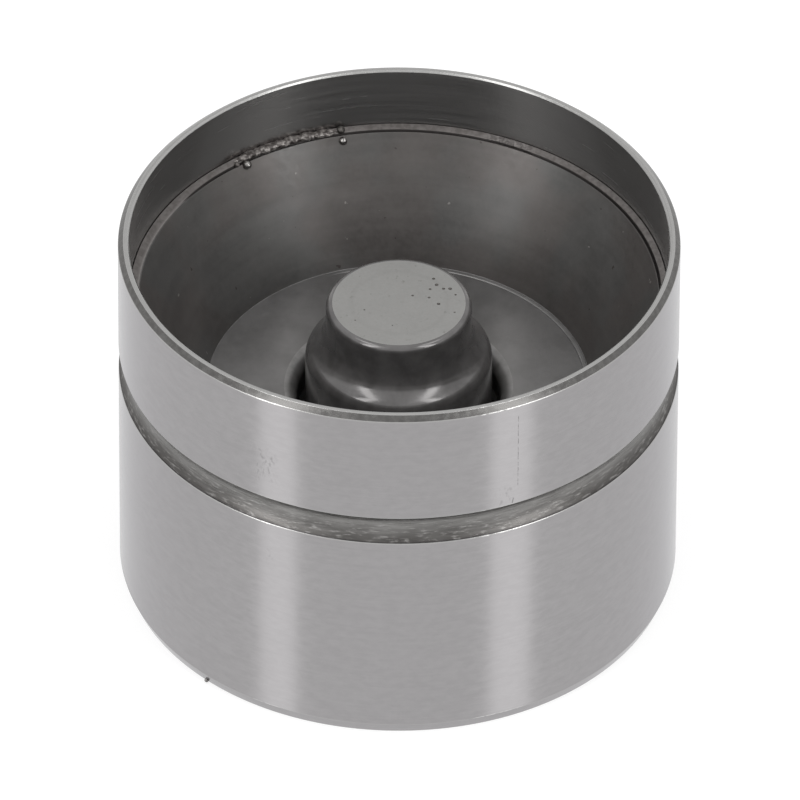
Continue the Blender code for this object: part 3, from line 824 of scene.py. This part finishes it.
def bucket():
    """Crown and skirt in one piece."""
    seat_offset = CUP_SHEET + SEAT_GAP
    groove_top = OIL_GROOVE_CENTRE + OIL_GROOVE_WIDTH / 2
    groove_bottom = OIL_GROOVE_CENTRE - OIL_GROOVE_WIDTH / 2
    corners = [
        (0.0, CROWN_THICKNESS, 0.0, bore_steel),
        (reservoir_r, CROWN_THICKNESS, CROWN_CORNER_RADIUS, bore_steel),
        (reservoir_r, cone_line(seat_offset, reservoir_r), 0.0, bore_steel),
        (rim_bore_r, cone_line(seat_offset, rim_bore_r), 0.0, wall_steel),
        (rim_bore_r, rim_z - RIM_INNER_CHAMFER, EDGE_BREAK, rim_steel),
        (rim_bore_r + RIM_INNER_CHAMFER, rim_z, EDGE_BREAK, rim_steel, edge_steel),
        (outer_r - RIM_OUTER_CHAMFER, rim_z, EDGE_BREAK, chamfer_steel, edge_steel),
        (outer_r, rim_z - RIM_OUTER_CHAMFER, BRIGHT_EDGE, ground_steel, edge_steel),
        (outer_r, groove_top, BRIGHT_EDGE, groove_steel, edge_steel),
        *groove_arc(),
        (outer_r, groove_bottom, BRIGHT_EDGE, ground_steel, edge_steel),
        (outer_r, LEAD_CHAMFER_HEIGHT, BRIGHT_EDGE, ground_steel, edge_steel),
        (outer_r - LEAD_CHAMFER_WIDTH, 0.0, EDGE_BREAK, cam_steel),
        (0.0, 0.0, 0.0, cam_steel),
    ]
    body = turned("bucket_shell", rounded(corners), TURNED_SEGMENTS)

    start = (0.0, reservoir_r - MM, OIL_GROOVE_CENTRE)
    end = (0.0, outer_r + MM, OIL_GROOVE_CENTRE)
    cut(body, rod("feed_hole", FEED_HOLE_DIAMETER / 2, start, end, groove_steel))

    end_r = SLOT_WIDTH / 2
    slot = half_circle(SLOT_START + end_r, end_r, 180.0, HOLE_SEGMENTS // 2)
    slot += half_circle(SLOT_START + SLOT_LENGTH - end_r, end_r, 0.0, HOLE_SEGMENTS // 2)
    cut(body, prism("overflow_slot", slot, CROWN_THICKNESS - SLOT_DEPTH, CROWN_THICKNESS + MM, bore_steel))
    keep_flats_flat(body)
    place(body, "bucket", "ground_steel", "bucket_body")


def present(azimuth, start_deg, end_deg):
    """1 between two azimuths and 0 outside them, with a ramp inside each end."""
    into = (math.degrees(azimuth) - start_deg) % 360.0
    left = end_deg - start_deg - into
    return max(0.0, min(1.0, into / FADE_DEG, left / FADE_DEG))


def cup():
    """Drawn dish with its guide sleeve, the seam round its ledge and the ring round its floor."""
    relief_z = FLOOR_HEIGHT - MOUTH_BEND_RADIUS - MOUTH_RELIEF_DEPTH
    lip_z = FLOOR_HEIGHT - MOUTH_BEND_RADIUS - MOUTH_LIP / 2
    underside_z = FLOOR_HEIGHT - CUP_SHEET
    outer_corner_r = floor_edge_r + CUP_SHEET * math.tan(cone_slope / 2)
    ring_r = floor_edge_r - FLOOR_RING_WIDTH
    corners = [
        (land_r, ledge_z, 0.0, ledge_steel),
        (ledge_inner_r + SEAM_WIDTH, ledge_inner_z + SEAM_EDGE_RISE, LEDGE_EDGE_RADIUS, ledge_steel),
        (ledge_inner_r + SEAM_WIDTH / 2, ledge_inner_z - SEAM_DEPTH, FINE_GROOVE_RADIUS, ledge_steel),
        (ledge_inner_r, ledge_inner_z, LEDGE_EDGE_RADIUS, cone_steel),
        (floor_edge_r, FLOOR_HEIGHT - FLOOR_RING_DEPTH, FLOOR_EDGE_RADIUS, floor_steel),
        (floor_edge_r - FLOOR_BEAD_WIDTH, FLOOR_HEIGHT + FLOOR_BEAD_HEIGHT, FLOOR_EDGE_RADIUS, floor_steel),
        (ring_r, FLOOR_HEIGHT, FLOOR_EDGE_RADIUS, floor_steel),
        (ring_r - FLOOR_RING_GROOVE / 2, FLOOR_HEIGHT - FLOOR_RING_DEPTH, FINE_GROOVE_RADIUS, floor_steel),
        (ring_r - FLOOR_RING_GROOVE, FLOOR_HEIGHT, FLOOR_EDGE_RADIUS, floor_steel),
        (mouth_r, FLOOR_HEIGHT, MOUTH_BEND_RADIUS, floor_steel, bend_steel),
        (mouth_r, lip_z, 0.0, edge_steel),
        (mouth_r + MOUTH_LIP / 2, lip_z - MOUTH_LIP, 0.0, floor_steel),
        (mouth_r + MOUTH_LIP / 2, relief_z, 0.0, floor_steel),
        (guide_bore_r, relief_z - (mouth_r - guide_bore_r), 0.0, floor_steel),
        (guide_bore_r, sleeve_end_z, EDGE_BREAK, floor_steel),
        (sleeve_r, sleeve_end_z, EDGE_BREAK, floor_steel),
        (sleeve_r, underside_z, SLEEVE_CORNER_RADIUS, cone_steel),
        (outer_corner_r, underside_z, FLOOR_CORNER_RADIUS + CUP_SHEET, cone_steel),
        (land_r, cone_line(CUP_SHEET, land_r), 0.0, cone_steel),
    ]

    def fade(r, z, azimuth):
        """Let the seam and the floor's ring run out where the photo shows none."""
        ledge_level = ledge_inner_z + (r - ledge_inner_r) * LEDGE_FALL / LEDGE_WIDTH
        if ledge_inner_r <= r < land_r and ledge_level - 2 * SEAM_DEPTH < z < ledge_level:
            return ledge_level + (z - ledge_level) * present(azimuth, SEAM_START_DEG, SEAM_END_DEG)
        on_ring = ring_r - FLOOR_RING_GROOVE < r < floor_edge_r - EDGE_BREAK / 2
        if on_ring and abs(z - FLOOR_HEIGHT) < 2 * FLOOR_RING_DEPTH:
            share = present(azimuth, FLOOR_RING_START_DEG, FLOOR_RING_END_DEG)
            return FLOOR_HEIGHT + (z - FLOOR_HEIGHT) * share
        return z

    piece = turned("dish", rounded(corners), TURNED_SEGMENTS, height_at=fade)
    keep_flats_flat(piece)
    place(piece, "bucket", "drawn_steel", "guide_cup")


# Pits in the nose's end face: x and y of each in millimetres, and its width
NOSE_PITS = [
    (2.16, 2.4, 0.2), (2.35, 1.8, 0.24), (1.94, 1.37, 0.18), (2.78, 1.42, 0.2), (3.19, 1.42, 0.24),
    (3.53, 0.83, 0.15), (0.85, 0.73, 0.16), (1.88, 0.54, 0.18), (2.47, -0.08, 0.22), (3.47, -0.9, 0.13),
    (-2.15, -0.7, 0.12), (-2.72, -1.73, 0.1), (-0.4, -2.22, 0.1),
]
PIT_DEPTH_IN_WIDTHS = 0.3


def pit_cutter():
    """Round-bottomed pits, as one cutter, whose dark finish is painted shade in the pits."""
    vertices = []
    faces = []
    for x, y, width in NOSE_PITS:
        depth = width * PIT_DEPTH_IN_WIDTHS
        pit_radius = (width**2 / 4 + depth**2) / (2 * depth)
        centre = Vector((x * MM, y * MM, nose_z + (pit_radius - depth) * MM))
        points, pit_faces = sphere(pit_radius * MM, PIT_SEGMENTS, PIT_SEGMENTS)
        first = len(vertices)
        vertices += [point + centre for point in points]
        faces += [[first + index for index in face] for face in pit_faces]
    return object_from("pits", vertices, faces, [pit_steel])


def plunger():
    """Closed cylinder with the nose that meets the valve stem, its end face pitted by use."""
    groove_r = plunger_r - RING_GROOVE_DEPTH
    groove_low = plunger_end_z + END_LAND
    corners = [
        (0.0, nose_z, 0.0, face_steel),
        (neck_r, nose_z, NOSE_EDGE_RADIUS, dark_steel),
        (neck_r, nose_z - NECK_LENGTH, NECK_FILLET_RADIUS, dark_steel),
        (plunger_r, nose_z - NOSE_LENGTH, SHOULDER_RADIUS, dark_steel),
        (plunger_r, sleeve_end_z, EDGE_BREAK, dark_steel),
        (groove_r, sleeve_end_z, 0.0, dark_steel),
        (groove_r, groove_low, 0.0, dark_steel),
        (plunger_r, groove_low, EDGE_BREAK, dark_steel),
        (plunger_r, plunger_end_z, END_CHAMFER, dark_steel),
        (bore_r, plunger_end_z, END_CHAMFER, piston_steel),
        (bore_r, bore_end_z, BORE_CORNER_RADIUS, piston_steel),
        (0.0, bore_end_z, 0.0, piston_steel),
    ]
    piece = turned("plunger", rounded(corners), TURNED_SEGMENTS)
    cut(piece, pit_cutter())
    keep_flats_flat(piece)
    place(piece, "plunger", "dark_steel", "plunger_cylinder")


def retaining_ring():
    """Open ring of round wire in the plunger's groove."""
    ring_r = plunger_r - RING_GROOVE_DEPTH + SEAT_GAP + RING_WIRE / 2
    ring_z = (ring_low.z + ring_high.z) / 2
    turns = 1.0 - RING_OPENING_DEG / 360.0
    start = math.radians(90.0 + RING_OPENING_DEG / 2)
    piece = coil("wire_ring", ring_r, RING_WIRE, turns, lambda turn: ring_z, ring_low.z, ring_high.z, start)
    place(piece, "plunger", "spring_steel", "retaining_ring")


def inner_piston():
    """Hollow piston with the valve seat at its head."""
    hole_r = VALVE_HOLE_DIAMETER / 2
    reservoir_end_z = head_z - PISTON_HEAD
    corners = [
        (hole_r + VALVE_SEAT_WIDTH, head_z, EDGE_BREAK),
        (piston_r, head_z, END_CHAMFER),
        (piston_r, piston_low.z, END_CHAMFER),
        (piston_r - PISTON_WALL, piston_low.z, EDGE_BREAK),
        (piston_r - PISTON_WALL, reservoir_end_z, BORE_CORNER_RADIUS),
        (hole_r, reservoir_end_z, EDGE_BREAK),
        (hole_r, head_z - VALVE_SEAT_WIDTH, 0.0),
    ]
    piece = turned("piston", rounded([(*corner, piston_steel) for corner in corners]))
    keep_flats_flat(piece)
    place(piece, "bucket", "ground_steel", "inner_piston")


def check_ball():
    """Ball of the one-way valve."""
    ball_r = (ball_high.z - ball_low.z) / 2
    centre_z = (ball_high.z + ball_low.z) / 2
    steps = round(180.0 / ARC_STEP_DEG) * 2
    outline = []
    for step in range(steps + 1):
        angle = math.pi * step / steps
        outline.append((ball_r * math.sin(angle), centre_z + ball_r * math.cos(angle), ball_steel))
    piece = turned("ball", outline)
    place(piece, "ball", "ball_steel", "check_ball")


def ball_cage():
    """Flanged cap over the ball, with windows that let the oil through."""
    inner_r = (ball_high.z - ball_low.z) / 2 + CAGE_SIDE_CLEARANCE
    wall_r = inner_r + CAGE_SHEET
    hole_r = CAGE_HOLE_DIAMETER / 2
    flange_z = cage_low.z + CAGE_SHEET
    corners = [
        (cage_high.x, cage_low.z, EDGE_BREAK),
        (cage_high.x, flange_z, EDGE_BREAK),
        (wall_r, flange_z, EDGE_BREAK),
        (wall_r, cage_high.z, CAGE_SHEET),
        (hole_r, cage_high.z, EDGE_BREAK),
        (hole_r, cage_high.z - CAGE_SHEET, EDGE_BREAK),
        (inner_r, cage_high.z - CAGE_SHEET, EDGE_BREAK),
        (inner_r, cage_low.z, EDGE_BREAK),
    ]
    piece = turned("cage", rounded([(*corner, cage_steel) for corner in corners]))
    reach = cage_high.x
    half = CAGE_WINDOW_WIDTH / 2
    sill_z = flange_z + CAGE_WINDOW_SILL
    long_way = [(reach, half), (-reach, half), (-reach, -half), (reach, -half)]
    for outline in (long_way, [(-y, x) for x, y in long_way]):
        cut(piece, prism("cage_window", outline, sill_z, sill_z + CAGE_WINDOW_HEIGHT, cage_steel))
    keep_flats_flat(piece)
    place(piece, "bucket", "cage_steel", "ball_cage")


def spring(name, node, mean_r, wire, turns, low_z, high_z):
    """Compression spring with closed, ground end turns."""
    closed_rise = wire * CLOSED_PITCH_IN_WIRES
    start_z = low_z + wire * GROUND_START_IN_WIRES
    rise = high_z - low_z - 2 * wire * GROUND_START_IN_WIRES
    pitch = (rise - 2 * closed_rise) / (turns - 2)

    def height_at(turn):
        open_turns = min(max(turn - 1.0, 0.0), turns - 2)
        return start_z + closed_rise * (turn - open_turns) + pitch * open_turns

    piece = coil(name, mean_r, wire, turns, height_at, low_z, high_z)
    place(piece, "bucket", "spring_steel", node)
    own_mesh(piece)


def springs():
    """The plunger's return spring and the ball's light one."""
    cage_wall_r = (ball_high.z - ball_low.z) / 2 + CAGE_SIDE_CLEARANCE + CAGE_SHEET
    return_r = (cage_wall_r + bore_r) / 2
    ball_r = (BALL_SPRING_DIAMETER - BALL_SPRING_WIRE) / 2
    low, high = coil_low.z, coil_high.z
    spring(
        "return_coil", "return_spring", return_r,
        RETURN_SPRING_WIRE, RETURN_SPRING_TURNS, low, high,
    )
    low, high = ball_coil_low.z, ball_coil_high.z
    spring(
        "ball_coil", "ball_spring", ball_r,
        BALL_SPRING_WIRE, BALL_SPRING_TURNS, low, high,
    )


def around(azimuth_deg, r, z):
    """Point at an azimuth, a distance from the axis and a height."""
    angle = math.radians(azimuth_deg)
    return Vector((r * math.sin(angle), -r * math.cos(angle), z))


def weld():
    """Lumpy bead on the ledge, against the wall, thinner at both ends."""
    centre_r = land_r - WELD_HALF_WIDTH * WELD_INSET_IN_HALF_WIDTHS
    centre_z = ledge_z - WELD_HALF_HEIGHT * WELD_SINK_IN_HALF_HEIGHTS
    vertices = []
    for step in range(WELD_STEPS + 1):
        share = step / WELD_STEPS
        azimuth = WELD_START_DEG + (WELD_END_DEG - WELD_START_DEG) * share
        taper = min(1.0, WELD_TAPER * min(share, 1.0 - share) + WELD_END_SHARE)
        for side in range(WELD_SIDES):
            angle = math.tau * side / WELD_SIDES
            lift = Vector((0.0, 0.0, math.sin(angle) * WELD_NOISE_LIFT_MM))
            spot = around(azimuth, centre_r, centre_z) * PER_MM + lift
            lump = noise.fractal(spot * WELD_LUMPS_PER_MM, *WELD_LUMP_FRACTAL)
            lump += WELD_GRAIN * noise.noise(spot * WELD_GRAINS_PER_MM)
            size = taper * (1.0 + WELD_LUMP * lump)
            r = centre_r + WELD_HALF_WIDTH * size * math.cos(angle)
            z = centre_z + WELD_HALF_HEIGHT * size * math.sin(angle)
            vertices.append(around(azimuth, min(r, rim_bore_r + WELD_BITE), z))
    piece = object_from("weld_bead", vertices, tube_faces(WELD_STEPS, WELD_SIDES), [weld_steel])
    place(piece, "bucket", "drawn_steel")


# Weld spatter and the burr: name, azimuth in degrees, distance from the axis, height, radius, finish
DROPLETS = [
    ("spatter_left", -143.4, 16.08, 20.98, 0.3, spatter_steel),
    ("spatter_left_small", -141.2, 16.3, 21.15, 0.17, weld_steel),
    ("spatter_right", -167.1, 16.0, 20.8, 0.27, spatter_steel),
    ("spatter_dark", -167.0, 16.5, 21.3, 0.26, pit_steel),
    ("burr", -43.5, 17.3, 0.14, 0.14, spatter_steel),
]


def droplets():
    """Small lumps of metal, each slightly out of round."""
    for name, azimuth, r, z, radius, finish in DROPLETS:
        centre = around(azimuth, r, z)
        points, faces = sphere(radius, DROPLET_SEGMENTS, DROPLET_SEGMENTS // 2)
        vertices = []
        for point in points:
            wave = noise.noise(point * DROPLET_SWELLS_PER_MM + centre * DROPLET_VARIETY)
            vertices.append((centre + point * (1.0 + DROPLET_SWELL * wave)) * MM)
        piece = object_from(name, vertices, faces, [finish])
        place(piece, "bucket", "ground_steel" if name == "burr" else "drawn_steel")


bucket()
cup()
plunger()
retaining_ring()
inner_piston()
check_ball()
ball_cage()
springs()
weld()
droplets()

# Studio: white to the camera and to reflections, a little darker to diffuse light
FLOOR_SIZE = 6.0
FLOOR_GREY = 0.4
FLOOR_ROUGHNESS = 0.9
FLOOR_GLOW = 0.68
WORLD_LIGHT = 0.75
LAMP_DISTANCE = 0.6
LOOKS_DOWN_ABOVE = 1.2
WATTS_PER_SQUARE_METRE = 4.0

# Soft boxes: name, azimuth, height of the centre, width, height, radiance. The low pair stands below
# the floor, where the skirt mirrors it.
SOFT_BOXES = [
    ("low_left", -49.9, -0.45, 0.17, 0.9, 0.39),
    ("low_right", 47.0, -0.45, 0.19, 0.9, 0.39),
    ("high_left", -49.5, 0.75, 0.18, 1.44, 2.9),
    ("high_right", 49.5, 0.75, 0.18, 1.44, 2.9),
    ("top_left", -95.0, 1.5, 0.45, 0.35, 2.4),
    ("top_right", 95.0, 1.5, 0.45, 0.35, 2.4),
]


def white_for_eyes(tree):
    """1 on rays that see the background directly, in a reflection or through glass, and 0 on others."""
    path = tree.nodes.new("ShaderNodeLightPath")
    seen = path.outputs["Is Camera Ray"]
    for ray in ("Is Glossy Ray", "Is Transmission Ray"):
        either = tree.nodes.new("ShaderNodeMath")
        either.operation = "MAXIMUM"
        tree.links.new(seen, either.inputs[0])
        tree.links.new(path.outputs[ray], either.inputs[1])
        seen = either.outputs[0]
    return seen


def floor():
    """White floor that keeps a faint shadow. Reflections and lamp light from below pass it."""
    half = FLOOR_SIZE / 2
    corners = [(-half, -half, 0), (half, -half, 0), (half, half, 0), (-half, half, 0)]
    mesh = bpy.data.meshes.new("floor")
    mesh.from_pydata(corners, [], [(0, 1, 2, 3)])
    piece = bpy.data.objects.new("studio_floor", mesh)
    piece.visible_glossy = False
    piece.visible_shadow = False
    bpy.context.scene.collection.objects.link(piece)
    material = bpy.data.materials.new("floor_white")
    material.use_nodes = True
    tree = material.node_tree
    shader = tree.nodes["Principled BSDF"]
    shader.inputs["Base Color"].default_value = (FLOOR_GREY, FLOOR_GREY, FLOOR_GREY, 1.0)
    shader.inputs["Roughness"].default_value = FLOOR_ROUGHNESS
    shader.inputs["Specular IOR Level"].default_value = 0.0
    shader.inputs["Emission Color"].default_value = (1.0, 1.0, 1.0, 1.0)
    glow = tree.nodes.new("ShaderNodeMath")
    glow.operation = "MULTIPLY"
    tree.links.new(white_for_eyes(tree), glow.inputs[0])
    glow.inputs[1].default_value = FLOOR_GLOW
    tree.links.new(glow.outputs[0], shader.inputs["Emission Strength"])
    mesh.materials.append(material)


def background():
    """White background, with a little less light for matt surfaces."""
    world = bpy.data.worlds.new("studio")
    world.use_nodes = True
    bpy.context.scene.world = world
    tree = world.node_tree
    shader = tree.nodes["Background"]
    shader.inputs["Color"].default_value = (1.0, 1.0, 1.0, 1.0)
    strength = tree.nodes.new("ShaderNodeMapRange")
    strength.inputs["To Min"].default_value = WORLD_LIGHT
    tree.links.new(white_for_eyes(tree), strength.inputs["Value"])
    tree.links.new(strength.outputs[0], shader.inputs["Strength"])


def soft_boxes():
    """Upright soft boxes at the front left and right, and two at the sides that look down at the rim."""
    for name, azimuth_deg, height, width, tall, radiance in SOFT_BOXES:
        light = bpy.data.lights.new(name, "AREA")
        light.shape = "RECTANGLE"
        light.size = width
        light.size_y = tall
        light.energy = radiance * WATTS_PER_SQUARE_METRE * width * tall
        lamp = bpy.data.objects.new(name, light)
        lamp.location = around(azimuth_deg, LAMP_DISTANCE, height)
        target = Vector((0.0, 0.0, rim_z if height > LOOKS_DOWN_ABOVE else height))
        lamp.rotation_euler = (target - lamp.location).to_track_quat("-Z", "Y").to_euler()
        lamp.visible_camera = False
        bpy.context.scene.collection.objects.link(lamp)


# Camera: fitted to the outlines of both rims, far away with a long lens
CAMERA_ELEVATION_DEG = 39.52
CAMERA_ROLL_DEG = 0.28
CAMERA_DISTANCE = 1.2
CAMERA_FOCUS_PIXELS = 19171.6
CAMERA_AIM_HEIGHT = 12.55 * MM
CAMERA_SHIFT_PIXELS = 1.55
PHOTO_PIXELS = 800
SENSOR_WIDTH = 36.0


def camera():
    """The photo's viewpoint."""
    elevation = math.radians(CAMERA_ELEVATION_DEG)
    roll = math.radians(CAMERA_ROLL_DEG)
    data = bpy.data.cameras.new("camera")
    data.sensor_width = SENSOR_WIDTH
    data.lens = CAMERA_FOCUS_PIXELS * SENSOR_WIDTH / PHOTO_PIXELS
    data.shift_x = CAMERA_SHIFT_PIXELS / PHOTO_PIXELS
    eye = bpy.data.objects.new("camera", data)
    back = Vector((0.0, -math.cos(elevation), math.sin(elevation)))
    level_up = Vector((0.0, math.sin(elevation), math.cos(elevation)))
    level_right = Vector((1.0, 0.0, 0.0))
    right = level_right * math.cos(roll) + level_up * math.sin(roll)
    up = level_up * math.cos(roll) - level_right * math.sin(roll)
    turn = Matrix((right, up, back)).transposed().to_4x4()
    turn.translation = Vector((0.0, 0.0, CAMERA_AIM_HEIGHT)) + back * CAMERA_DISTANCE
    eye.matrix_world = turn
    bpy.context.scene.collection.objects.link(eye)
    bpy.context.scene.camera = eye


floor()
background()
soft_boxes()
camera()
bpy.context.scene.view_settings.view_transform = "Standard"
